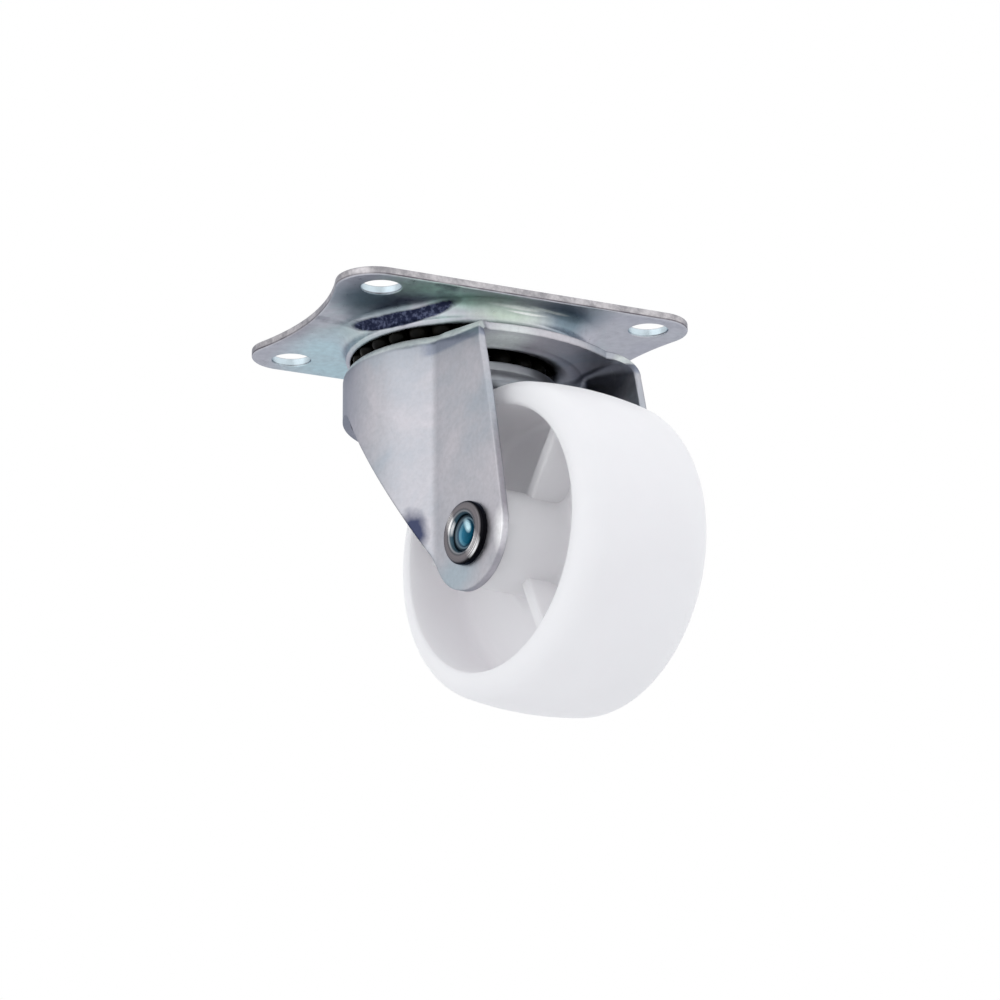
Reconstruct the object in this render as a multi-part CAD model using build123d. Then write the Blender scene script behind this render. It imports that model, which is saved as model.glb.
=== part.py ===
from build123d import *
import math
import os

# Swivel caster with a pressed steel fork, a double ball race and a moulded wheel.
# The origin is the centre of the plate's mounting face. +Z points out of that face.
# The swivel axis is Z. Trail is measured along the fork's own X axis.

# Bolt holes
hole_spacing_x = 36.0
hole_spacing_y = 46.0
hole_diameter = 6.4

# Top plate, one pressed sheet. Its margins are measured from the bolt holes' centres,
# and its boss follows the upper ball ring.
plate_sheet = 1.4
plate_side_margin = 5.2
plate_waist_margin = 3.9
plate_end_arc_radius = 47.6
plate_corner_radius = 6.0
plate_edge_round = 0.25
boss_depth = 3.2
boss_wall_reach = 2.5
boss_base_fillet = 2.2
boss_lip_round = 0.7
centre_boss_clearance = 0.65
centre_boss_round = 1.0

# Balls and their grooves
ball_diameter = 3.2
ball_clearance = 0.08
ball_gap = 0.58
groove_relief = 0.16
plate_groove_depth = 1.46
crown_groove_depth = 0.25
lower_pitch_radius = 12.0

# Fork, one pressed sheet. Its drum follows the upper ball ring. The bend at its top
# is tight round the drum and opens towards the front of the legs.
fork_sheet = 1.2
crown_race_clearance = 0.35
crown_slope_length = 3.57
crown_hole_reach = 1.45
drum_wall_reach = 2.9
drum_bend_radius = 2.0
leg_bend_radius = 4.4
valley_radius = 3.0
tongue_reach = 3.5
tongue_arc_radius = 30.0
skirt_depth = 8.25
skirt_front_reach = 6.7
skirt_corner = 4.0
leg_side_clearance = 2.4
leg_end_radius = 8.6
leg_front_advance = 0.9
leg_front_angle = 8.0
leg_front_bow = 0.3
leg_rear_angle = 209.5
leg_rear_bow = 0.7
fork_rest_turn = 11.0

# Lower race cup, one pressed sheet
cup_sheet = 1.5
cup_rim_reach = 2.1
cup_rim_rise = 0.56
cup_plateau_rise = 1.31
cup_plateau_round = 0.5

# King pin, one rivet
pin_diameter = 7.0
pin_fit = 0.05
pin_head_overhang = 2.5
pin_head_height = 2.2
pin_tail_overhang = 1.8
pin_tail_height = 1.8
pin_head_round = 1.1

# Wheel, one moulding
wheel_diameter = 50.0
wheel_width = 24.1
wheel_head_clearance = 4.15
trail = 21.1
tread_corner_radius = 3.55
tread_crown_radius = 62.6
rim_face_width = 0.48
dish_mouth_round = 0.4
dish_draft = 2.6
web_thickness = 3.2
web_fillet = 2.0
hub_wall = 3.48
hub_end_play = 0.3
hub_end_round = 0.5
rib_count = 3
rib_thickness = 1.9
rib_drop = 4.45
rib_round = 0.4
rib_first_angle = 54.8

# Axle, one tubular rivet
axle_diameter = 8.0
axle_wall = 1.35
axle_running_clearance = 0.12
axle_hole_clearance = 0.05
axle_flange_overhang = 0.85
axle_flange_height = 1.25
axle_flange_round = 0.65
axle_mouth_round = 0.9

# Reach of cutting shapes past what they cut, how near a corner counts as found,
# and stations of the lofted cut round the leg bend
past = 1.0
near = 0.05
bend_stations = 5

# Ball stack, from the plate's lip down. The grooves set the gap between lip and crown.
ball_radius = ball_diameter / 2
groove_radius = ball_radius + groove_relief
plate_lip_z = -(plate_sheet + boss_depth)
plate_groove_z = plate_lip_z + plate_groove_depth
upper_ball_z = plate_groove_z - ball_clearance - ball_radius
upper_groove_z = upper_ball_z - ball_radius - ball_clearance
crown_top_z = upper_groove_z + crown_groove_depth
crown_floor_z = crown_top_z - fork_sheet
crown_bump_z = plate_lip_z - crown_race_clearance
lower_roof_z = crown_bump_z - fork_sheet
lower_ball_z = lower_roof_z - ball_clearance - ball_radius
cup_groove_z = lower_ball_z - ball_radius - ball_clearance
cup_plateau_z = cup_groove_z + cup_plateau_rise
cup_rim_z = cup_groove_z + cup_rim_rise
pin_tail_z = cup_plateau_z - cup_sheet - pin_tail_height

# Circles of the two races. The crown's straight slope joins one groove to the other.
groove_outer_radius = groove_radius + fork_sheet
groove_fall = (upper_groove_z + groove_radius) - (lower_roof_z - groove_radius)
groove_span = math.hypot(groove_radius + groove_outer_radius, crown_slope_length)
upper_pitch_radius = lower_pitch_radius + math.sqrt(groove_span**2 - groove_fall**2)
boss_radius = upper_pitch_radius + boss_wall_reach
drum_radius = upper_pitch_radius + drum_wall_reach
tongue_front = drum_radius + tongue_reach
leg_front_top = tongue_front + leg_front_advance
crown_hole_radius = lower_pitch_radius - crown_hole_reach
centre_boss_radius = crown_hole_radius - centre_boss_clearance
cup_radius = lower_pitch_radius + cup_rim_reach

# Fork, wheel and axle, worked out from the sizes above
wheel_radius = wheel_diameter / 2
axle_radius = axle_diameter / 2
axle_z = pin_tail_z - wheel_head_clearance - wheel_radius
wheel_face = wheel_width / 2
leg_inner_y = wheel_face + leg_side_clearance
leg_outer_y = leg_inner_y + fork_sheet
bend_start_y = leg_outer_y - leg_bend_radius
bend_end_z = crown_top_z - leg_bend_radius
tongue_arc_x = tongue_front - tongue_arc_radius
bend_start_x = tongue_arc_x + math.sqrt(tongue_arc_radius**2 - bend_start_y**2)
leg_flat_x = past + math.sqrt((drum_radius + valley_radius) ** 2
                              - (leg_outer_y + valley_radius) ** 2)
wheel_bore_radius = axle_radius + axle_running_clearance
hub_radius = wheel_bore_radius + hub_wall
tread_centre_r = wheel_radius - tread_crown_radius
corner_reach = tread_crown_radius - tread_corner_radius
corner_centre_a = wheel_face - tread_corner_radius
corner_centre_r = tread_centre_r + math.sqrt(corner_reach**2 - corner_centre_a**2)
dish_mouth_radius = corner_centre_r - rim_face_width
skirt_z = crown_top_z - skirt_depth
well_below = axle_z - leg_end_radius - past
far_back = -drum_radius - past
far_front = max(trail + leg_end_radius, leg_front_top) + past


def section_box(r_min, r_max, z_min, z_max):
    """Rectangle in the radial section plane, where X is the radius and Z the height."""
    middle = ((r_min + r_max) / 2, (z_min + z_max) / 2)
    return Plane.XZ * Pos(*middle) * Rectangle(r_max - r_min, z_max - z_min)


def section_disc(r_centre, z_centre, radius):
    """Disc in the radial section plane."""
    return Plane.XZ * Pos(r_centre, z_centre) * Circle(radius)


def section_vertex(section, r_value, z_value):
    """The corner of a section that lies nearest to a given radius and height."""
    return min(section.vertices(), key=lambda v: math.hypot(v.X - r_value, v.Z - z_value))


def rounded(section, corners, radius):
    """Round the named corners of a section."""
    picked = [section_vertex(section, r_value, z_value) for r_value, z_value in corners]
    return fillet(picked, radius)


def turned(section):
    """Turn a section about Z."""
    return revolve(section, Axis.Z, 360)


def top_plate():
    """Plate with concave short ends, four holes and the pressed race boss."""
    half_width = hole_spacing_x / 2 + plate_side_margin
    end_arc_y = hole_spacing_y / 2 + plate_waist_margin + plate_end_arc_radius
    tip_y = end_arc_y - math.sqrt(plate_end_arc_radius**2 - half_width**2)
    outline = Rectangle(2 * half_width, 2 * (tip_y + past))
    for side in (1, -1):
        outline -= Pos(0, side * end_arc_y) * Circle(plate_end_arc_radius)
    outline = fillet(outline.vertices(), plate_corner_radius)
    sheet = extrude(outline, -plate_sheet)
    rims = sheet.faces().sort_by(Axis.Z)[0].edges() + sheet.faces().sort_by(Axis.Z)[-1].edges()
    sheet = fillet(rims, plate_edge_round)
    holes = GridLocations(hole_spacing_x, hole_spacing_y, 2, 2)
    sheet -= holes * Cylinder(hole_diameter / 2, 2 * (plate_sheet + past))

    wall_top = boss_radius + boss_base_fillet
    fillet_z = -plate_sheet - boss_base_fillet
    inner_wall = boss_radius - plate_sheet
    boss = section_box(0, boss_radius, plate_lip_z, 0)
    boss = rounded(boss, [(boss_radius, plate_lip_z)], boss_lip_round)
    boss += section_box(0, centre_boss_radius, cup_plateau_z, plate_lip_z + plate_sheet)
    boss = rounded(boss, [(centre_boss_radius, cup_plateau_z)], centre_boss_round)
    skirt = section_box(inner_wall, wall_top, fillet_z, 0)
    boss += skirt - section_disc(wall_top, fillet_z, boss_base_fillet)

    recess = section_box(0, inner_wall, plate_lip_z + plate_sheet, past)
    recess += section_box(inner_wall - plate_sheet, wall_top, fillet_z, past)
    recess -= section_disc(wall_top, fillet_z, boss_base_fillet + plate_sheet)
    ring_z = plate_groove_z - groove_radius
    recess -= section_disc(upper_pitch_radius, ring_z, groove_radius + plate_sheet)
    recess_floor = cup_plateau_z + plate_sheet
    recess += section_box(0, centre_boss_radius - plate_sheet, recess_floor, past)
    boss -= recess
    boss -= section_disc(upper_pitch_radius, ring_z, groove_radius)
    boss -= section_box(0, pin_diameter / 2 + pin_fit, well_below, past)

    sheet -= Cylinder(wall_top, 2 * (plate_sheet + past))
    return sheet + turned(boss)


def fork_plan(inset):
    """Plan of the fork: the drum at the back and the start of the flat legs."""
    drum = Circle(drum_radius - inset)
    legs = Pos(leg_flat_x / 2, 0) * Rectangle(leg_flat_x, 2 * (leg_outer_y - inset))
    plan = drum + legs
    crease_x = math.sqrt((drum_radius - inset) ** 2 - (leg_outer_y - inset) ** 2)
    creases = [v for v in plan.vertices() if abs(v.X - crease_x) < near]
    return fillet(creases, valley_radius + inset)


def leg_section(inset, x_place, radius):
    """Cross-section of the legs and the crown between them, with rounded top corners."""
    top_z = crown_top_z - inset
    middle = (x_place, 0, (top_z + well_below) / 2)
    frame = Plane(origin=middle, x_dir=(0, 1, 0), z_dir=(1, 0, 0))
    section = frame * Rectangle(2 * (leg_outer_y - inset), top_z - well_below)
    corners = [v for v in section.vertices() if abs(v.Z - top_z) < near]
    return fillet(corners, radius - inset)


def fork_block(inset, front):
    """Solid block inside the fork's outer or inner surface, with its rounded top bend."""
    top_z = crown_top_z - inset
    block = Pos(0, 0, well_below) * extrude(fork_plan(inset), top_z - well_below)
    rim = [e for e in block.edges() if e.bounding_box().min.Z > top_z - near]
    rim = [e for e in rim if e.bounding_box().min.X < leg_flat_x - near]
    block = fillet(rim, drum_bend_radius - inset)
    opening_rate = (leg_bend_radius - drum_bend_radius) / (leg_front_top - leg_flat_x)
    front_radius = drum_bend_radius + opening_rate * (front - leg_flat_x)
    rear_section = leg_section(inset, leg_flat_x, drum_bend_radius)
    front_section = leg_section(inset, front, front_radius)
    return block + loft([rear_section, front_section], ruled=True)


def crown_front_cut():
    """Cutting shape in front of the crown's convex front edge, between the two bends."""
    length = far_front + 2 * past
    ahead = Pos(length / 2, 0) * Rectangle(length, 2 * bend_start_y)
    ahead -= Pos(tongue_arc_x, 0) * Circle(tongue_arc_radius)
    return Pos(0, 0, bend_end_z) * extrude(ahead, plate_lip_z - bend_end_z)


def bend_front_cut():
    """Cutting shape in front of the sheet's edge where it bends down into a leg.

    The edge is cut square to the sheet and runs from the crown's arc to the leg's
    front edge, so the shape is lofted between stations turned about the bend's axis.
    """
    inner = leg_bend_radius - fork_sheet - past
    outer = leg_bend_radius + past
    stations = []
    for station in range(bend_stations):
        turn = math.pi / 2 * station / (bend_stations - 1)
        edge_x = bend_start_x + (leg_front_top - bend_start_x) * math.sin(turn) ** 2
        out = Vector(0, math.sin(turn), math.cos(turn))
        length = far_front + 2 * past - edge_x
        middle = Vector(edge_x + length / 2, bend_start_y, bend_end_z) + out * (inner + outer) / 2
        frame = Plane(origin=middle, x_dir=(1, 0, 0), z_dir=(0, out.Z, -out.Y))
        stations.append(frame * Rectangle(length, outer - inner))
    return loft(stations)


def fork_side_profile():
    """Side view of the fork, from the back skirt down to the rounded leg end."""
    axle = Vector(trail, 0, axle_z)

    def on_leg_end(angle):
        turn = math.radians(angle)
        return axle + Vector(math.cos(turn), 0, math.sin(turn)) * leg_end_radius

    skirt_back = (far_back, 0, skirt_z)
    skirt_front = (-skirt_front_reach, 0, skirt_z)
    rear_end = on_leg_end(leg_rear_angle)
    front_end = on_leg_end(leg_front_angle)
    leg_bottom = on_leg_end(270)
    leg_top = (leg_front_top, 0, bend_end_z)
    front = far_front + 2 * past
    above = plate_lip_z + past
    outline = [
        Line((far_back, 0, above), skirt_back),
        Line(skirt_back, skirt_front),
        bowed(skirt_front, rear_end, leg_rear_bow),
        ThreePointArc(rear_end, leg_bottom, front_end),
        bowed(front_end, leg_top, -leg_front_bow),
        Polyline(leg_top, (front, 0, bend_end_z), (front, 0, above), (far_back, 0, above)),
    ]
    profile = make_face(outline)
    return rounded(profile, [(-skirt_front_reach, skirt_z)], skirt_corner)


def bowed(start, end, bow):
    """Arc from start to end in the XZ plane that bows by the given amount to its left."""
    start = Vector(*start)
    end = Vector(*end)
    along = (end - start).normalized()
    left = Vector(-along.Z, 0, along.X)
    return ThreePointArc(start, (start + end) * 0.5 + left * bow, end)


def crown_section():
    """Section of the crown from its hole to the upper groove, a sheet bent in an S.

    It passes over the lower balls and under the upper balls. The straight part
    between the two bends is the common tangent of both.
    """
    upper = Vector(upper_pitch_radius, 0, upper_groove_z + groove_radius)
    lower = Vector(lower_pitch_radius, 0, lower_roof_z - groove_radius)
    outer = groove_outer_radius
    between = lower - upper
    spread = math.asin((groove_radius + outer) / between.length)
    heading = math.atan2(between.Z, between.X) % (2 * math.pi) - spread
    across = Vector(math.sin(heading), 0, -math.cos(heading))
    if across.Z < 0:
        across = across * -1

    def near_hole(radius):
        depth = math.sqrt(radius**2 - crown_hole_reach**2)
        return lower + Vector(-crown_hole_reach, 0, depth)

    under = Vector(0, 0, -1)
    over = Vector(0, 0, 1)
    outline = [
        Line(near_hole(groove_radius), near_hole(outer)),
        ThreePointArc(near_hole(outer), lower + over * outer, lower + across * outer),
        Line(lower + across * outer, upper - across * groove_radius),
        arc_between(upper, -across, under, groove_radius),
        Line(upper + under * groove_radius, upper + under * outer),
        arc_between(upper, under, -across, outer),
        Line(upper - across * outer, lower + across * groove_radius),
        ThreePointArc(lower + across * groove_radius, lower + over * groove_radius,
                      near_hole(groove_radius)),
    ]
    return make_face(outline)


def arc_between(centre, first, last, radius):
    """Short arc about a centre from one direction to another."""
    middle = (first + last).normalized()
    return ThreePointArc(centre + first * radius, centre + middle * radius,
                         centre + last * radius)


def fork():
    """Fork pressed from one sheet: drum, crown with both races, and two legs."""
    outer = fork_block(0, far_front)
    inner = fork_block(fork_sheet, far_front + past)
    shell = outer - inner
    shell -= Cylinder(upper_pitch_radius, 2 * (past - crown_floor_z))
    groove_z = upper_groove_z + groove_radius
    outer_half = section_box(upper_pitch_radius, drum_radius, well_below, groove_z)
    swell = section_disc(upper_pitch_radius, groove_z, groove_outer_radius) & outer_half
    shell += turned(swell) & outer
    groove = section_disc(upper_pitch_radius, groove_z, groove_radius) & outer_half
    shell -= turned(groove)
    shell += turned(crown_section())

    bend_cut = bend_front_cut()
    shell -= crown_front_cut()
    shell -= bend_cut
    shell -= mirror(bend_cut, Plane.XZ)
    shell &= extrude(fork_side_profile(), drum_radius + past, both=True)
    hole = Cylinder(axle_radius + axle_hole_clearance, 2 * (leg_outer_y + past))
    return shell - axle_frame() * hole


def lower_race_cup():
    """Cup that holds the lower balls up against the crown."""
    centre_z = cup_groove_z + groove_radius
    outer = groove_radius + cup_sheet
    body = section_disc(lower_pitch_radius, centre_z, outer)
    body &= section_box(lower_pitch_radius - outer, cup_radius, centre_z - outer, cup_rim_z)
    body += section_box(0, lower_pitch_radius, cup_plateau_z - cup_sheet, cup_plateau_z)
    body -= section_disc(lower_pitch_radius, centre_z, groove_radius)
    body -= section_box(0, pin_diameter / 2 + pin_fit, well_below, 0)
    reach = math.sqrt(groove_radius**2 - (centre_z - cup_plateau_z) ** 2)
    shoulder = (lower_pitch_radius - reach, cup_plateau_z)
    body = rounded(body, [shoulder], cup_plateau_round)
    return turned(body)


def king_pin():
    """Rivet that clamps the cup under the plate."""
    seat_z = cup_plateau_z + plate_sheet
    head_top = seat_z + pin_head_height
    shank = pin_diameter / 2
    head = shank + pin_head_overhang
    tail = shank + pin_tail_overhang
    body = section_box(0, shank, pin_tail_z, head_top)
    body += section_box(0, head, seat_z, head_top)
    body += section_box(0, tail, pin_tail_z, pin_tail_z + pin_tail_height)
    body = rounded(body, [(head, head_top), (tail, pin_tail_z)], pin_head_round)
    return turned(body)


def axle_frame():
    """Frame on the axle, with its X forward, its Y up and its Z along the axle."""
    return Plane(origin=(trail, 0, axle_z), x_dir=(1, 0, 0), z_dir=(0, -1, 0)).location


def axle_rivet():
    """Tubular rivet with a rolled flange outside each leg."""
    end = leg_outer_y + axle_flange_height
    bore = axle_radius - axle_wall
    flange = axle_radius + axle_flange_overhang
    body = section_box(bore, axle_radius, -end, end)
    for side in (1, -1):
        low, high = sorted((side * leg_outer_y, side * end))
        body += section_box(bore, flange, low, high)
    body = rounded(body, [(flange, end), (flange, -end)], axle_flange_round)
    body = rounded(body, [(bore, end), (bore, -end)], axle_mouth_round)
    return axle_frame() * turned(body)


def wheel_half_section():
    """Section of one half of the wheel: bore, hub, web, dish wall and tread."""
    hub_end = leg_inner_y - hub_end_play
    web = web_thickness / 2
    dish_floor_radius = dish_mouth_radius - (wheel_face - web) * math.tan(math.radians(dish_draft))
    tread_turn = math.asin(corner_centre_a / corner_reach)

    def on_tread(turn):
        return (tread_centre_r + tread_crown_radius * math.cos(turn), 0,
                tread_crown_radius * math.sin(turn))

    corner_turn = (tread_turn + math.pi / 2) / 2
    corner_middle = (corner_centre_r + tread_corner_radius * math.cos(corner_turn), 0,
                     corner_centre_a + tread_corner_radius * math.sin(corner_turn))
    face_end = (corner_centre_r, 0, wheel_face)
    section = make_face([
        Polyline((wheel_radius, 0, 0), (wheel_bore_radius, 0, 0), (wheel_bore_radius, 0, hub_end),
                 (hub_radius, 0, hub_end), (hub_radius, 0, web), (dish_floor_radius, 0, web),
                 (dish_mouth_radius, 0, wheel_face), face_end),
        ThreePointArc(face_end, corner_middle, on_tread(tread_turn)),
        ThreePointArc(on_tread(tread_turn), on_tread(tread_turn / 2), on_tread(0)),
    ])
    section = rounded(section, [(hub_radius, web), (dish_floor_radius, web)], web_fillet)
    section = rounded(section, [(dish_mouth_radius, wheel_face)], dish_mouth_round)
    return rounded(section, [(hub_radius, hub_end)], hub_end_round)


def wheel_rib(angle, side):
    """One radial rib in a dish, sunk into the hub, the web and the rim."""
    start = (wheel_bore_radius + hub_radius) / 2
    length = dish_mouth_radius - start
    height = wheel_face - rib_drop
    rib = Pos(start + length / 2, 0, side * height / 2) * Box(length, rib_thickness, height)
    tops = rib.faces().sort_by(Axis.Z)[-1 if side > 0 else 0].edges()
    long_tops = tops.filter_by(Axis.X)
    return Rot(0, 0, angle) * fillet(long_tops, rib_round)


def wheel():
    """Wheel moulded in one piece, dished and ribbed the same on both sides."""
    half = wheel_half_section()
    body = turned(half) + turned(mirror(half, Plane.XY))
    for side in (1, -1):
        for rib in range(rib_count):
            body += wheel_rib(rib_first_angle + rib * 360 / rib_count, side)
    return axle_frame() * body


def ball_ring(pitch_radius, height):
    """Balls evenly spaced about the swivel axis."""
    count = int(2 * math.pi * pitch_radius / (ball_diameter + ball_gap))
    places = PolarLocations(pitch_radius, count)
    return [Pos(0, 0, height) * place * Sphere(ball_radius) for place in places]


def swivelled(solid):
    """Turn a piece of the swivelling group to its place at rest."""
    return Rot(0, 0, fork_rest_turn) * solid


def save(name, solid):
    """Write one piece to its own file."""
    export_step(solid, f"parts/{name}.step")


def main():
    os.makedirs("parts", exist_ok=True)
    save("top_plate", top_plate())
    save("king_pin", king_pin())
    save("lower_race_cup", lower_race_cup())
    save("fork", swivelled(fork()))
    save("axle_rivet", swivelled(axle_rivet()))
    save("wheel", swivelled(wheel()))
    for number, ball in enumerate(ball_ring(upper_pitch_radius, upper_ball_z), 1):
        save(f"upper_ball_{number:02d}", ball)
    for number, ball in enumerate(ball_ring(lower_pitch_radius, lower_ball_z), 1):
        save(f"lower_ball_{number:02d}", ball)


main()
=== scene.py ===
import math

import bmesh
import bpy
from mathutils import Matrix, Vector


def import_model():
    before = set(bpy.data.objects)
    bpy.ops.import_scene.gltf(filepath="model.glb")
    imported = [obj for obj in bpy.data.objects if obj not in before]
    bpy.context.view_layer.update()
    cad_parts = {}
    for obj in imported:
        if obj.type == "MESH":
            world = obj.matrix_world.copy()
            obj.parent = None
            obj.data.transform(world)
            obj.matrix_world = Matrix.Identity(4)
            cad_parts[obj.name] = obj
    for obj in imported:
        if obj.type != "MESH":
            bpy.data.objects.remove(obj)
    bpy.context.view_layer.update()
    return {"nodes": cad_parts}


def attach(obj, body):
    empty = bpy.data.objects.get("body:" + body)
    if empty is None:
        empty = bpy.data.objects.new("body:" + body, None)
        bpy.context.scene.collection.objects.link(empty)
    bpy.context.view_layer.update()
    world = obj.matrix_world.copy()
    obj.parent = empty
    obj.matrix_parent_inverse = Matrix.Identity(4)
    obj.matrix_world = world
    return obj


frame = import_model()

# Lengths and places are in mm in the plate's frame unless a comment says otherwise, and
# MM turns them into metres. Z points up, and the plate's top is at zero.
MM = 0.001
nodes = frame["nodes"]

# Camera, fitted to the photograph
camera_place = (461.1, -217.3, -186.9)
camera_target = (8.07, 1.57, -29.33)
camera_roll = math.radians(-0.51)
camera_lens = 122.2
camera_sensor = 36.0
camera_nearest = 10.0

# The swivel's axis, the fork's turn about it and the wheel's axle on the turned fork
origin = (0.0, 0.0, 0.0)
swivel_axis = (0.0, 0.0, 1.0)
fork_degrees = 11.0
fork_turn = math.radians(fork_degrees)
fork_ahead = (math.cos(fork_turn), math.sin(fork_turn), 0.0)
wheel_axis = (-math.sin(fork_turn), math.cos(fork_turn), 0.0)
axle_ahead = 21.1
axle_height = -40.65

# Colours in linear light. A list holds a ramp's stops, each a position and a colour.
# An edge tint is the colour of bare metal seen at a low angle.
edge_tint = (0.55, 0.57, 0.62, 1.0)
web_edge_tint = (0.3, 0.42, 0.5, 1.0)
# Grease in the races, darkened to near black as painted shade of the race gap
grease_shade_black = (0.012, 0.012, 0.007)
plate_zinc = [(0.3, (0.56, 0.56, 0.63)), (0.48, (0.64, 0.64, 0.69)),
              (0.62, (0.57, 0.67, 0.69)), (0.74, (0.72, 0.71, 0.75))]
# Painted dark reflection in the boss's fillet, and painted highlight streaks
crescent_reflection_navy = [(0.45, (0.018, 0.022, 0.05)), (0.68, (0.10, 0.115, 0.19))]
highlight_white = (0.96, 0.99, 0.95)
sheared_steel = [(0.4, (0.33, 0.32, 0.34)), (0.62, (0.56, 0.54, 0.56))]
hole_zinc = (0.60, 0.70, 0.76)
burr_grey = (0.11, 0.10, 0.12)
fork_zinc = [(0.35, (0.42, 0.45, 0.50)), (0.5, (0.49, 0.49, 0.53)), (0.65, (0.56, 0.54, 0.58))]
leg_end_blue = (0.36, 0.46, 0.54)
# Painted dark reflection below the fork's bend, painted highlight on the bend, and painted shade on the far
# leg
bend_dark_reflection = (0.26, 0.29, 0.37)
bend_highlight = (0.84, 0.89, 0.87)
far_leg_shade = (0.13, 0.135, 0.16)
rear_edge_navy = (0.055, 0.065, 0.12)
# Painted dark reflection on one side of the drum
drum_shade = (0.24, 0.26, 0.33)
scuff_grey = (0.34, 0.35, 0.38)
# Rings across the rivet's end: blue in the bore, painted light and dark reflections, and a painted shadow
# at the rim
rivet_colour_and_reflection_rings = [(0.02, (0.03, 0.07, 0.10)), (0.18, (0.05, 0.08, 0.10)), (0.26, (0.26, 0.27, 0.29)),
               (0.36, (0.10, 0.10, 0.11)), (0.50, (0.19, 0.175, 0.185)), (0.82, (0.16, 0.15, 0.16)),
               (0.93, (0.008, 0.008, 0.01))]
# Painted glint on the rivet
rivet_glint_white = (0.97, 0.96, 0.96)
# Rings on the web: its teal, with painted light and dark reflections
web_colour_and_reflection_rings = [(0.0, (0.012, 0.075, 0.13)), (0.55, (0.02, 0.11, 0.18)), (0.70, (0.10, 0.24, 0.32)),
             (0.77, (0.03, 0.06, 0.10)), (0.86, (0.14, 0.20, 0.24)), (0.96, (0.03, 0.04, 0.05))]
# Painted glint on the web
web_glint_white = (0.62, 0.88, 0.97)
cup_zinc = [(0.35, (0.42, 0.44, 0.46)), (0.65, (0.52, 0.53, 0.55))]
# Ball colours: grease, made near black as painted shade of the race gap
greased_and_shaded_ball = [(0.4, (0.0015, 0.0015, 0.001)), (0.7, (0.006, 0.005, 0.003))]
nylon_white = [(0.35, (0.865, 0.85, 0.865)), (0.65, (0.89, 0.875, 0.89))]
floor_grey = [(0.3, 0.84), (0.7, 0.87)]

# Painted reflections on the plate's underside, in its passivation's tints: centre, reaches, turn in
# degrees, colour
plate_reflections = [
    ((13.2, -22.5, -1.4), (5.5, 6.0, 1.2), 0.0, (0.19, 0.25, 0.29)),
    ((20.1, -14.8, -1.4), (3.5, 7.0, 1.2), 10.0, (0.66, 0.92, 0.78)),
    ((18.0, 9.0, -2.0), (4.5, 5.0, 3.0), -30.0, (0.26, 0.34, 0.40)),
    ((19.4, -2.5, -2.9), (2.0, 5.5, 1.5), 3.0, (0.56, 0.66, 0.58)),
    ((-11.0, -20.0, -1.4), (7.0, 5.0, 1.2), 0.0, (0.66, 0.84, 0.90)),
    ((-4.0, -28.5, -1.4), (6.0, 2.5, 1.2), 0.0, (0.46, 0.45, 0.50)),
    ((-19.0, -14.0, -1.4), (7.0, 8.0, 1.2), 0.0, (0.62, 0.80, 0.86)),
]

# The painted dark reflection in a crescent and the painted highlight streaks on the boss, as
# arcs: azimuth and half angle in degrees, height in the middle, rise at the ends, half height
crescent = (-58.5, 28.0, -3.05, 1.3, 1.05)
highlight_streaks = [(-1.0, 10.0, -2.0, 0.1, 0.2), (12.0, 9.0, -1.75, 0.1, 0.12), (2.0, 8.0, -2.6, 0.1, 0.14)]

# The plate's cut edge and the burr on its lower border: heights, and the least distance
# from the swivel's axis
edge_low = -1.2
edge_high = -0.12
burr_low = -1.22
burr_high = -1.05
edge_radius = 22.6
edge_fade = 0.3

# A bolt hole's middle without signs, as the four mirror each other, and the reach of the
# tint on its wall
hole_middle = (18.0, 23.0, 0.7)
hole_reach = 3.8
hole_fade = 0.4

# Grease in the races, darkened to near black as painted shade of the race gap: the grease's radius, and the
# heights where it starts and is full
plate_grease_shade = (18.6, -1.5, -1.8)
fork_grease_shade = (18.1, -7.0, -6.7)
grease_shade_fade = 0.2

# The navy patch on the fork's rear edge, and the reaches of the blue tint round the axle
rear_edge_navy_centre = (12.4, -15.1, -37.6)
rear_edge_navy_reaches = (2.0, 3.0, 2.9)
leg_end_reaches = (9.0, 6.0, 9.0)

# The painted highlight on the fork's bend and the painted dark reflection band below it, which starts this
# far ahead
bend_highlight_low = -8.1
bend_highlight_fade = 0.4
dark_reflection_low = -9.7
dark_reflection_fade = 0.5
dark_reflection_back = 11.8
dark_reflection_back_fade = 1.5

# The drum is painted dark, as a reflection, round this azimuth, up to the first angle, and
# pale past the second, in degrees
drum_dark_azimuth = -150.0
drum_dark_angle = 46.0
drum_pale_angle = 78.0

# A blue tint and a painted highlight on the near leg's front edge, from the axle: centre, reaches, share,
# colour
leg_tint_and_highlight = [
    ((-3.0, -15.6, -6.0), (4.5, 1.5, 2.6), 0.7, (0.38, 0.47, 0.53)),
    ((8.3, -15.2, -1.5), (1.5, 1.5, 3.0), 0.9, (0.97, 0.97, 0.99)),
]

# Painted light under the crown and painted shade on the far leg, in the fork's own frame: the pale near
# part and the dark far leg
under_light_centre = (18.4, -7.0, -7.6)
under_light_reaches = (5.0, 3.6, 1.6)
far_leg_shade_centre = (16.0, 13.9, -9.5)
far_leg_shade_reaches = (9.0, 1.15, 5.0)

# The axle rivet from the axle: bore and rim radius, near end, and two painted glints on its ring
rivet_bore = 2.65
rivet_rim = 4.85
rivet_end = -16.9
rivet_glints = [((-2.9, rivet_end, 2.3), (0.75, 1.5, 1.7)), ((2.7, rivet_end, -2.5), (1.3, 1.5, 1.8))]

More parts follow.
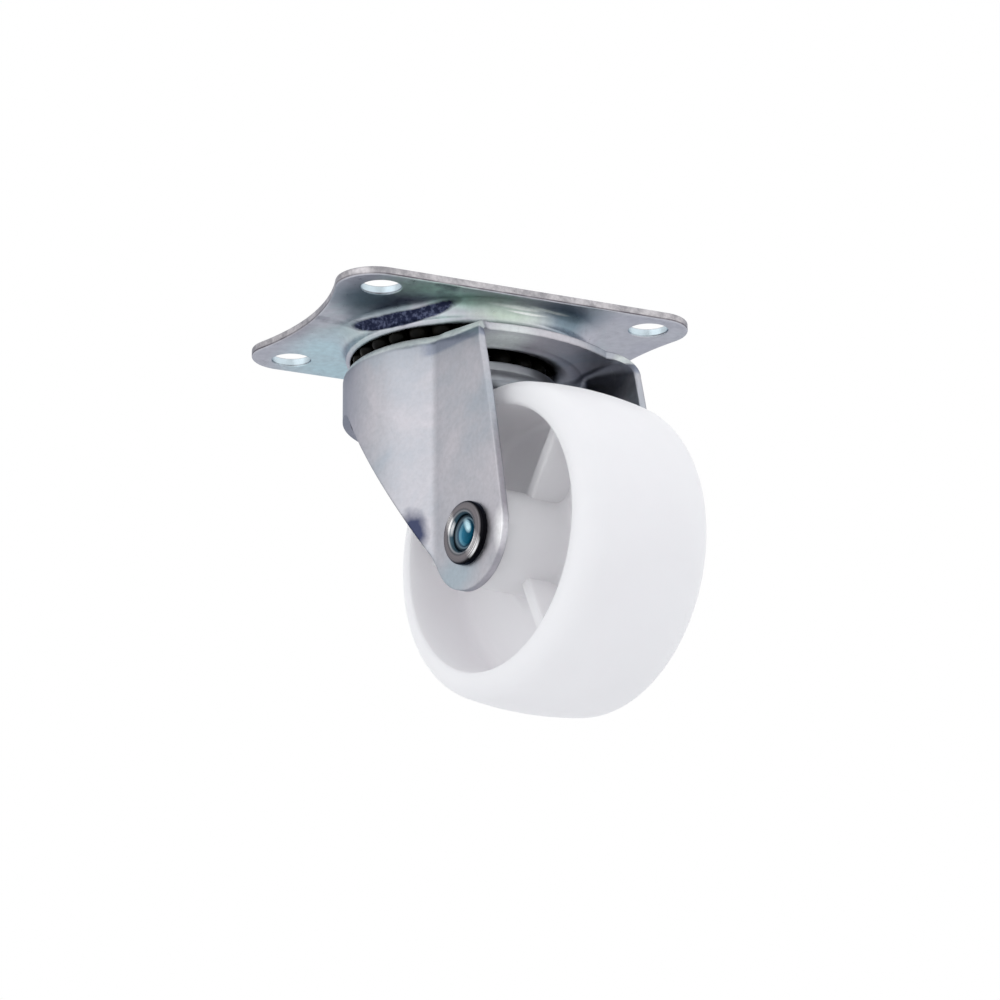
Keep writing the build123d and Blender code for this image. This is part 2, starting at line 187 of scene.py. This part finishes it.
# The dished web in the bore's near end: radius and place along the axle from its rim to
# its middle, thickness, sides of the turned mesh, and its painted glint
web_profile = [(2.69, -16.3), (2.48, -16.12), (2.32, -15.95), (2.18, -16.06), (2.0, -15.9),
               (1.5, -15.62), (0.95, -15.45), (0.4, -15.38), (0.0, -15.37)]
web_sheet = 0.35
web_sides = 64
web_glint_centre = (-0.1, -15.6, 1.25)
web_glint_reaches = (0.6, 1.5, 0.8)

# Turned rings on rivet and web, in noise units a metre
ring_scale = 4000.0

# Floor in metres
floor_z = -0.45
floor_size = 5.0

# Soft boxes in metres and watts, each facing the lit place: place, width, height, power
lit_place = (0.01, 0.0, -0.03)
soft_boxes = {
    "key": ((0.75, 0.65, 0.65), 1.9, 1.9, 2.2),
    "front": ((0.4, -1.15, 0.35), 1.5, 1.4, 3.0),
    "top": ((-0.5, 0.2, 1.1), 1.6, 1.6, 1.2),
}

# The world's light on surfaces, and the white that camera and reflections see
sky_colour = (0.95, 0.97, 1.0, 1.0)
sky_strength = 0.87
white_colour = (1.0, 1.0, 1.0, 1.0)
white_strength = 1.0


def metres(place):
    """A place or reaches in mm, turned into metres."""
    return tuple(Vector(place) * MM)


def on_fork(x, y, z):
    """A place on the fork, from the fork's own frame to the plate's."""
    return (x * math.cos(fork_turn) - y * math.sin(fork_turn),
            x * math.sin(fork_turn) + y * math.cos(fork_turn), z)


def by_axle(x, y, z):
    """A place that is given from the wheel's axle, in the plate's frame."""
    return on_fork(axle_ahead + x, y, axle_height + z)


axle_place = by_axle(0.0, 0.0, 0.0)


class Shader:
    """A material's node tree, with short ways to add nodes to it."""

    def __init__(self, name, **settings):
        self.material = bpy.data.materials.new(name)
        self.material.use_nodes = True
        self.tree = self.material.node_tree
        self.surface = self.tree.nodes["Principled BSDF"]
        for socket, value in settings.items():
            self.surface.inputs[socket.replace("_", " ")].default_value = value
        self.place = self.add("ShaderNodeTexCoord").outputs["Object"]

    def add(self, kind, **settings):
        """Add a node and set its properties."""
        node = self.tree.nodes.new(kind)
        for name, value in settings.items():
            setattr(node, name, value)
        return node

    def feed(self, socket, value):
        """Link a socket to a node's output, or set it to a constant."""
        if isinstance(value, bpy.types.NodeSocket):
            self.tree.links.new(value, socket)
        else:
            socket.default_value = value

    def set(self, socket, value):
        """Feed one of the surface's sockets."""
        self.feed(self.surface.inputs[socket], value)

    def noise(self, scale, detail=3.0, roughness=0.5, distortion=0.0, place=None):
        """Cloudy values between 0 and 1."""
        node = self.add("ShaderNodeTexNoise")
        self.feed(node.inputs["Vector"], place or self.place)
        self.feed(node.inputs["Scale"], scale)
        self.feed(node.inputs["Detail"], detail)
        self.feed(node.inputs["Roughness"], roughness)
        self.feed(node.inputs["Distortion"], distortion)
        return node.outputs["Fac"]

    def moved(self, turn=(0.0, 0.0, 0.0), stretch=(1.0, 1.0, 1.0), place=None):
        """The place after a turn and a stretch."""
        node = self.add("ShaderNodeMapping")
        self.feed(node.inputs["Vector"], place or self.place)
        self.feed(node.inputs["Rotation"], turn)
        self.feed(node.inputs["Scale"], stretch)
        return node.outputs["Vector"]

    def ramp(self, value, stops):
        """Colours or grey levels between the stops."""
        node = self.add("ShaderNodeValToRGB")
        band = node.color_ramp
        for position, _ in stops[2:]:
            band.elements.new(position)
        for element, (position, colour) in zip(band.elements, stops):
            element.position = position
            grey = isinstance(colour, (int, float))
            element.color = (colour, colour, colour, 1.0) if grey else (*colour, 1.0)
        self.feed(node.inputs["Fac"], value)
        return node.outputs["Color"]

    def mix(self, share, first, second, blend="MIX"):
        """Two colours blended by a share."""
        node = self.add("ShaderNodeMix", data_type="RGBA", blend_type=blend)
        self.feed(node.inputs["Factor"], share)
        for socket, value in ((node.inputs[6], first), (node.inputs[7], second)):
            self.feed(socket, value if isinstance(value, bpy.types.NodeSocket) else (*value, 1.0))
        return node.outputs[2]

    def maths(self, operation, first, second=0.0):
        """One sum on two values."""
        node = self.add("ShaderNodeMath", operation=operation)
        self.feed(node.inputs[0], first)
        self.feed(node.inputs[1], second)
        return node.outputs[0]

    def vector(self, operation, first, second=origin, output=0):
        """One sum on two vectors."""
        node = self.add("ShaderNodeVectorMath", operation=operation)
        self.feed(node.inputs[0], first)
        self.feed(node.inputs[1], second)
        return node.outputs[output]

    def length(self, vector):
        """Length of a vector."""
        return self.vector("LENGTH", vector, output="Value")

    def product(self, *factors):
        """All the factors multiplied."""
        result = factors[0]
        for factor in factors[1:]:
            result = self.maths("MULTIPLY", result, factor)
        return result

    def over(self, tint, colour, *masks, share=None):
        """A colour laid over a tint where all the masks are 1."""
        factors = masks if share is None else (*masks, share)
        return self.mix(self.product(*factors), tint, colour)

    def span(self, value, low, high):
        """0 at low and beyond, 1 at high and beyond."""
        node = self.add("ShaderNodeMapRange")
        self.feed(node.inputs["Value"], value)
        self.feed(node.inputs["From Min"], low)
        self.feed(node.inputs["From Max"], high)
        return node.outputs["Result"]

    def span_mm(self, value, low, high):
        """The span of a length, between two lengths in mm."""
        return self.span(value, low * MM, high * MM)

    def band(self, value, low, high, soft):
        """1 between two lengths, falling to 0 over the soft length outside them."""
        return self.product(self.span_mm(value, low - soft, low), self.span_mm(value, high + soft, high))

    def from_axis(self, point, axis):
        """Distance of the place from an axis through a point, in metres."""
        offset = self.vector("SUBTRACT", self.place, metres(point))
        return self.length(self.vector("CROSS_PRODUCT", offset, axis))

    def coordinate(self, name):
        """One coordinate of the place, in metres."""
        node = self.add("ShaderNodeSeparateXYZ")
        self.feed(node.inputs[0], self.place)
        return node.outputs[name]

    def along(self, direction):
        """How far the place lies along a direction, in metres."""
        return self.vector("DOT_PRODUCT", self.place, direction, output="Value")

    def facing(self, direction):
        """How much the surface faces a direction, 1 straight towards it."""
        normal = self.add("ShaderNodeTexCoord").outputs["Normal"]
        return self.vector("DOT_PRODUCT", normal, direction, output="Value")

    def arc(self, azimuth, half_angle, middle, rise, half_height):
        """Distance from an arc's middle round the swivel's axis, 1 on the arc's border."""
        round_axis = self.maths("ARCTAN2", self.coordinate("Y"), self.coordinate("X"))
        turned = self.maths("SUBTRACT", round_axis, math.radians(azimuth))
        share = self.maths("DIVIDE", turned, math.radians(half_angle))
        square = self.product(share, share)
        centre = self.maths("ADD", self.product(square, rise * MM), middle * MM)
        above = self.maths("DIVIDE", self.maths("SUBTRACT", self.coordinate("Z"), centre), half_height * MM)
        return self.maths("SQRT", self.maths("ADD", square, self.product(above, above)))

    def uneven(self, value, ragged, spread):
        """A value moved up and down by a ragged noise."""
        return self.maths("ADD", value, self.product(self.maths("SUBTRACT", ragged, 0.5), spread))

    def patch(self, centre, reaches, turn=0.0, soft=0.5, ragged=None, spread=0.0):
        """1 inside an oval that is turned about Z, 0 outside it, over a soft or ragged edge."""
        offset = self.vector("SUBTRACT", self.place, metres(centre))
        aligned = self.moved(turn=(0.0, 0.0, math.radians(-turn)), place=offset)
        away = self.length(self.vector("DIVIDE", aligned, metres(reaches)))
        if ragged is not None:
            away = self.uneven(away, ragged, spread)
        return self.span(away, 1.0 + soft, 1.0 - soft)

    def grease_shade(self, radius, start, full):
        """Grease, darkened as painted shade, within a radius of the swivel's axis, from one height on to
        another.
        """
        inside = self.span_mm(self.from_axis(origin, swivel_axis), radius + grease_shade_fade, radius)
        return self.product(inside, self.span_mm(self.coordinate("Z"), start, full))

    def turned_marks(self):
        """Fine rings about the wheel's axle, as on a turned part."""
        node = self.add("ShaderNodeCombineXYZ")
        self.feed(node.inputs["X"], self.product(self.from_axis(axle_place, wheel_axis), ring_scale))
        return self.noise(1.0, detail=2.0, place=node.outputs["Vector"])

    def roughen(self, texture, low, high):
        """Roughness between two values, by a texture."""
        node = self.add("ShaderNodeMapRange")
        self.feed(node.inputs["Value"], texture)
        self.feed(node.inputs["To Min"], low)
        self.feed(node.inputs["To Max"], high)
        self.set("Roughness", node.outputs["Result"])

    def relief(self, *layers, edge=0.0):
        """Bump from layers (texture, depth), over edges rounded by a radius, in mm."""
        normal = None
        if edge:
            bevel = self.add("ShaderNodeBevel", samples=4)
            self.feed(bevel.inputs["Radius"], edge * MM)
            normal = bevel.outputs["Normal"]
        for texture, depth in layers:
            bump = self.add("ShaderNodeBump")
            self.feed(bump.inputs["Height"], texture)
            self.feed(bump.inputs["Strength"], 1.0)
            self.feed(bump.inputs["Distance"], depth * MM)
            if normal is not None:
                self.feed(bump.inputs["Normal"], normal)
            normal = bump.outputs["Normal"]
        self.set("Normal", normal)


def plate_finish():
    """Bright zinc on the plate, with the slate, teal and violet tints of its passivation, patches of
    painted reflection, a painted dark crescent and painted highlight streaks under the boss, and grease
    darkened as painted shade.
    """
    look = Shader("zinc_plate", Metallic=1.0, Specular_Tint=edge_tint)
    clouds = look.noise(45.0, detail=4.0, roughness=0.55, distortion=0.8)
    ragged = look.noise(170.0, detail=4.0, roughness=0.6)
    grain = look.noise(900.0, detail=4.0, roughness=0.6)
    tint = look.ramp(clouds, plate_zinc)
    # Patches of painted reflection
    for centre, reaches, turn, colour in plate_reflections:
        tint = look.over(tint, colour, look.patch(centre, reaches, turn, 0.6, ragged, 0.8))

    # Painted dark reflection in a crescent and painted highlight streaks, on downward faces
    underside = look.span(look.facing(swivel_axis), 0.3, 0.1)
    navy = look.ramp(look.noise(1500.0, detail=2.0, roughness=0.7), crescent_reflection_navy)
    dark = look.span(look.uneven(look.arc(*crescent), ragged, 0.5), 1.12, 0.92)
    tint = look.over(tint, navy, dark, underside)
    for highlight_streak in highlight_streaks:
        highlight = look.span(look.uneven(look.arc(*highlight_streak), ragged, 1.5), 1.5, 0.7)
        tint = look.over(tint, highlight_white, highlight, underside)
    # Grease in the race, darkened as painted shade
    tint = look.over(tint, grease_shade_black, look.grease_shade(*plate_grease_shade), underside)

    height = look.coordinate("Z")
    border = look.span_mm(look.from_axis(origin, swivel_axis), edge_radius - edge_fade, edge_radius)
    sheared = look.ramp(look.noise(500.0, detail=5.0, roughness=0.7), sheared_steel)
    from_hole = look.vector("SUBTRACT", look.vector("ABSOLUTE", look.place), metres(hole_middle))
    hole_wall = look.span_mm(look.length(from_hole), hole_reach + hole_fade, hole_reach)
    cut = look.mix(hole_wall, sheared, hole_zinc)
    tint = look.over(tint, cut, look.band(height, edge_low, edge_high, 0.1), border)
    broken = look.ramp(ragged, [(0.35, 0.25), (0.6, 0.9)])
    tint = look.over(tint, burr_grey, look.band(height, burr_low, burr_high, 0.05), border, broken)

    speckle = look.ramp(grain, [(0.35, 0.72), (0.65, 1.0)])
    look.set("Base Color", look.mix(0.5, tint, speckle, blend="MULTIPLY"))
    look.roughen(grain, 0.1892, 0.4595)
    look.relief((clouds, 0.1), (grain, 0.006), edge=0.25)
    return look.material


def fork_finish():
    """Satin zinc on the fork, faintly mottled, with fine drawing marks and scuffs, a painted highlight and
    painted dark reflections about its bend and drum, painted light under the crown, painted shade on the
    far leg, and grease darkened as painted shade.
    """
    look = Shader("zinc_fork", Metallic=1.0, Specular_Tint=edge_tint)
    ragged = look.noise(300.0, detail=4.0, roughness=0.6)
    grain = look.noise(1400.0, roughness=0.6)
    height = look.coordinate("Z")
    tint = look.ramp(look.noise(70.0, detail=5.0, roughness=0.6, distortion=0.4), fork_zinc)
    leg_end = look.patch(axle_place, leg_end_reaches, soft=0.6, ragged=ragged, spread=0.6)
    tint = look.over(tint, leg_end_blue, leg_end, share=0.5)

    # Painted dark reflection band below the fork's bend, on its front part
    below_bend = look.band(height, dark_reflection_low, bend_highlight_low, dark_reflection_fade)
    front = look.span_mm(look.along(fork_ahead), dark_reflection_back - dark_reflection_back_fade, dark_reflection_back)
    tint = look.over(tint, bend_dark_reflection, below_bend, front, share=0.8)
    # Painted shade on the far leg's inner side
    far_leg_shade_mask = look.patch(on_fork(*far_leg_shade_centre), far_leg_shade_reaches, fork_degrees, 0.3, ragged, 0.7)
    tint = look.over(tint, far_leg_shade, far_leg_shade_mask)
    # Painted highlight on the top of the bend
    bend = look.span_mm(height, bend_highlight_low - bend_highlight_fade, bend_highlight_low)
    upward = look.span(look.facing(swivel_axis), 0.12, 0.3)
    mottled = look.ramp(ragged, [(0.3, 0.7), (0.6, 1.0)])
    # Painted light on the near part under the crown
    under = look.patch(on_fork(*under_light_centre), under_light_reaches, fork_degrees)
    pale = look.maths("MAXIMUM", look.product(bend, upward, mottled), under)
    tint = look.over(tint, bend_highlight, pale)
    # Less metal where light is painted, so that the painted light shows
    look.set("Metallic", look.maths("SUBTRACT", 1.0, look.product(pale, 0.6)))

    rear_edge_patch = look.patch(rear_edge_navy_centre, rear_edge_navy_reaches, soft=0.45, ragged=ragged, spread=1.1)
    tint = look.over(tint, rear_edge_navy, rear_edge_patch)
    # Grease in the race, darkened as painted shade
    tint = look.over(tint, grease_shade_black, look.grease_shade(*fork_grease_shade))
    # Painted dark reflection on one side of the drum
    dark_side = math.radians(drum_dark_azimuth)
    towards = look.along((math.cos(dark_side), math.sin(dark_side), 0.0))
    cosine = look.maths("DIVIDE", towards, look.from_axis(origin, swivel_axis))
    dark_drum = look.span(cosine, math.cos(math.radians(drum_pale_angle)),
                          math.cos(math.radians(drum_dark_angle)))
    tint = look.over(tint, drum_shade, dark_drum, share=0.6)
    # A blue tint and a painted highlight on the near leg
    for centre, reaches, share, colour in leg_tint_and_highlight:
        mark = look.patch(by_axle(*centre), reaches, fork_degrees, 0.5, ragged, 0.5)
        tint = look.over(tint, colour, mark, share=share)

    scuffed = look.moved(turn=(0.5, 0.2, 0.3), stretch=(1.0, 1.0, 0.25))
    scuffs = look.noise(420.0, detail=4.0, roughness=0.7, distortion=1.5, place=scuffed)
    tint = look.over(tint, scuff_grey, look.span(scuffs, 0.62, 0.72), share=0.25)
    speckle = look.ramp(grain, [(0.35, 0.78), (0.65, 1.0)])
    look.set("Base Color", look.mix(0.5, tint, speckle, blend="MULTIPLY"))
    look.roughen(grain, 0.2632, 0.5263)
    drawn = look.noise(260.0, place=look.moved(stretch=(1.0, 1.0, 0.06)))
    look.relief((drawn, 0.012), (grain, 0.006), edge=0.4)
    return look.material


def rivet_finish():
    """Bright plated steel with turned rings, blue in the bore, with rings of painted light and dark
    reflection, a painted shadow round the rim and two painted glints.
    """
    look = Shader("zinc_rivet", Metallic=1.0, Specular_Tint=edge_tint)
    rings = look.turned_marks()
    across = look.span_mm(look.from_axis(axle_place, wheel_axis), rivet_bore, rivet_rim)
    # Rings of painted light and dark reflection, blue in the bore and a painted shadow at the rim
    tint = look.ramp(across, rivet_colour_and_reflection_rings)
    lines = look.ramp(rings, [(0.46, 0.0), (0.54, 1.0)])
    # Painted glints on the ring
    for centre, reaches in rivet_glints:
        glint = look.patch(by_axle(*centre), reaches, fork_degrees, 0.4)
        tint = look.over(tint, rivet_glint_white, glint, lines)
    look.set("Base Color", tint)
    look.roughen(rings, 0.1111, 0.3889)
    look.relief((rings, 0.06), edge=0.1)
    return look.material


def web_finish():
    """The bore's dished web, teal, with rings of painted reflection and one painted highlight where it
    faces the light.
    """
    look = Shader("teal_web", Metallic=1.0, Specular_Tint=web_edge_tint)
    rings = look.turned_marks()
    across = look.span_mm(look.from_axis(axle_place, wheel_axis), 0.0, rivet_bore)
    glint = look.patch(by_axle(*web_glint_centre), web_glint_reaches, fork_degrees, 0.45)
    # Rings of painted reflection and a painted glint
    look.set("Base Color", look.over(look.ramp(across, web_colour_and_reflection_rings), web_glint_white, glint))
    look.roughen(rings, 0.1429, 0.4286)
    look.relief((rings, 0.03))
    return look.material


def cup_finish():
    """Zinc on the lower race cup and the king pin, grey and a little dull."""
    look = Shader("zinc_cup", Metallic=1.0, Specular_Tint=edge_tint)
    grain = look.noise(1200.0, roughness=0.6)
    look.set("Base Color", look.ramp(look.noise(160.0), cup_zinc))
    look.roughen(grain, 0.2353, 0.5294)
    look.relief((grain, 0.006), edge=0.3)
    return look.material


def ball_finish():
    """Steel balls black with grease, darkened further as painted shade of the race gap."""
    look = Shader("greased_and_shaded_steel", Specular_IOR_Level=0.08)
    grease_shade = look.noise(600.0)
    # Near black: grease and painted shade of the race gap
    look.set("Base Color", look.ramp(grease_shade, greased_and_shaded_ball))
    look.roughen(grease_shade, 0.1818, 0.6364)
    look.relief((grease_shade, 0.03))
    return look.material


def wheel_finish():
    """Satin white nylon with a soft mould texture."""
    look = Shader("white_nylon", IOR=1.53)
    grain = look.noise(1100.0, roughness=0.6)
    look.set("Base Color", look.ramp(look.noise(60.0), nylon_white))
    look.set("Subsurface Weight", 0.7)
    look.set("Subsurface Radius", (1.0, 0.95, 0.97))
    look.set("Subsurface Scale", 0.008)
    look.roughen(grain, 0.3158, 0.5789)
    look.relief((grain, 0.008), edge=0.2)
    return look.material


def dress(material, slot_name, *names):
    """Give CAD nodes a material; slot_name is not used."""
    for name in names:
        node = nodes[name]
        for holder in node.material_slots:
            holder.material = material


def dress_nodes():
    """Give every CAD node its material."""
    dull = cup_finish()
    dress(plate_finish(), "plated_plate", "top_plate")
    dress(dull, "plated_plate", "lower_race_cup")
    dress(dull, "rivet_steel", "king_pin")
    dress(fork_finish(), "plated_fork", "fork")
    dress(rivet_finish(), "rivet_steel", "axle_rivet")
    dress(ball_finish(), "ball_steel", *[name for name in nodes if "_ball_" in name])
    dress(wheel_finish(), "wheel_plastic", "wheel")


def web_ring(mesh, radius, along):
    """One ring of the web's vertices about the axle, or a single one in the middle."""
    sides = web_sides if radius else 1
    angles = [2 * math.pi * side / sides for side in range(sides)]
    return [mesh.verts.new(metres(by_axle(radius * math.cos(angle), along, radius * math.sin(angle))))
            for angle in angles]


def bore_web():
    """Thin dished web, turned about the axle, that closes the near end of the rivet's bore."""
    back = [(radius, along + web_sheet) for radius, along in reversed(web_profile)]
    mesh = bmesh.new()
    rings = [web_ring(mesh, radius, along) for radius, along in web_profile + back]
    for ring, after in zip(rings, rings[1:] + rings[:1]):
        for side in range(web_sides):
            corners = [ring[side % len(ring)], ring[(side + 1) % len(ring)],
                       after[(side + 1) % len(after)], after[side % len(after)]]
            corners = list(dict.fromkeys(corners))
            if len(corners) > 2:
                mesh.faces.new(corners)
    bmesh.ops.recalc_face_normals(mesh, faces=mesh.faces)
    data = bpy.data.meshes.new("bore_web")
    mesh.to_mesh(data)
    mesh.free()
    data.shade_smooth()
    data.materials.append(web_finish())
    web = bpy.data.objects.new("bore_web", data)
    bpy.context.scene.collection.objects.link(web)
    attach(web, "swivel")


def floor():
    """Plain pale floor, well below the camera, which looks up at the caster."""
    bpy.ops.mesh.primitive_plane_add(size=floor_size, location=(0.0, 0.0, floor_z))
    ground = bpy.context.object
    ground.name = "floor"
    look = Shader("floor_paper")
    fibre = look.noise(40.0, detail=4.0)
    look.set("Base Color", look.ramp(fibre, floor_grey))
    look.set("Roughness", 0.9)
    look.relief((fibre, 0.2))
    ground.data.materials.append(look.material)


def lights():
    """Three large soft boxes, each dimmer than white paper."""
    for name, (place, width, height, power) in soft_boxes.items():
        data = bpy.data.lights.new(name, "AREA")
        data.shape = "RECTANGLE"
        data.size = width
        data.size_y = height
        data.energy = power
        box = bpy.data.objects.new(name, data)
        box.location = place
        box.rotation_euler = (Vector(lit_place) - Vector(place)).to_track_quat("-Z", "Y").to_euler()
        bpy.context.scene.collection.objects.link(box)


def background(tree, colour, strength):
    """A background of one colour, for the world's node tree."""
    node = tree.nodes.new("ShaderNodeBackground")
    node.inputs["Color"].default_value = colour
    node.inputs["Strength"].default_value = strength
    return node.outputs[0]


def world():
    """Soft even light. What the camera and reflections see is white."""
    studio = bpy.data.worlds.new("studio")
    bpy.context.scene.world = studio
    studio.use_nodes = True
    tree = studio.node_tree
    tree.nodes.clear()
    path = tree.nodes.new("ShaderNodeLightPath")
    seen = path.outputs["Is Camera Ray"]
    for ray in ("Is Glossy Ray", "Is Transmission Ray"):
        either = tree.nodes.new("ShaderNodeMath")
        either.operation = "MAXIMUM"
        tree.links.new(seen, either.inputs[0])
        tree.links.new(path.outputs[ray], either.inputs[1])
        seen = either.outputs[0]
    both = tree.nodes.new("ShaderNodeMixShader")
    tree.links.new(seen, both.inputs[0])
    tree.links.new(background(tree, sky_colour, sky_strength), both.inputs[1])
    tree.links.new(background(tree, white_colour, white_strength), both.inputs[2])
    end = tree.nodes.new("ShaderNodeOutputWorld")
    tree.links.new(both.outputs[0], end.inputs["Surface"])


def camera():
    """The photograph's camera, low in front of the wheel and looking up."""
    data = bpy.data.cameras.new("camera")
    data.lens = camera_lens
    data.sensor_width = camera_sensor
    data.clip_start = camera_nearest * MM
    place = Vector(camera_place) * MM
    forward = (Vector(camera_target) * MM - place).normalized()
    right = forward.cross(Vector(swivel_axis)).normalized()
    up = right.cross(forward)
    across = right * math.cos(camera_roll) + up * math.sin(camera_roll)
    upward = up * math.cos(camera_roll) - right * math.sin(camera_roll)
    turn = Matrix((across, upward, -forward)).transposed().to_4x4()
    view = bpy.data.objects.new("camera", data)
    view.matrix_world = Matrix.Translation(place) @ turn
    bpy.context.scene.collection.objects.link(view)
    bpy.context.scene.camera = view


bpy.context.scene.view_settings.view_transform = "Standard"
dress_nodes()
bore_web()
floor()
lights()
world()
camera()
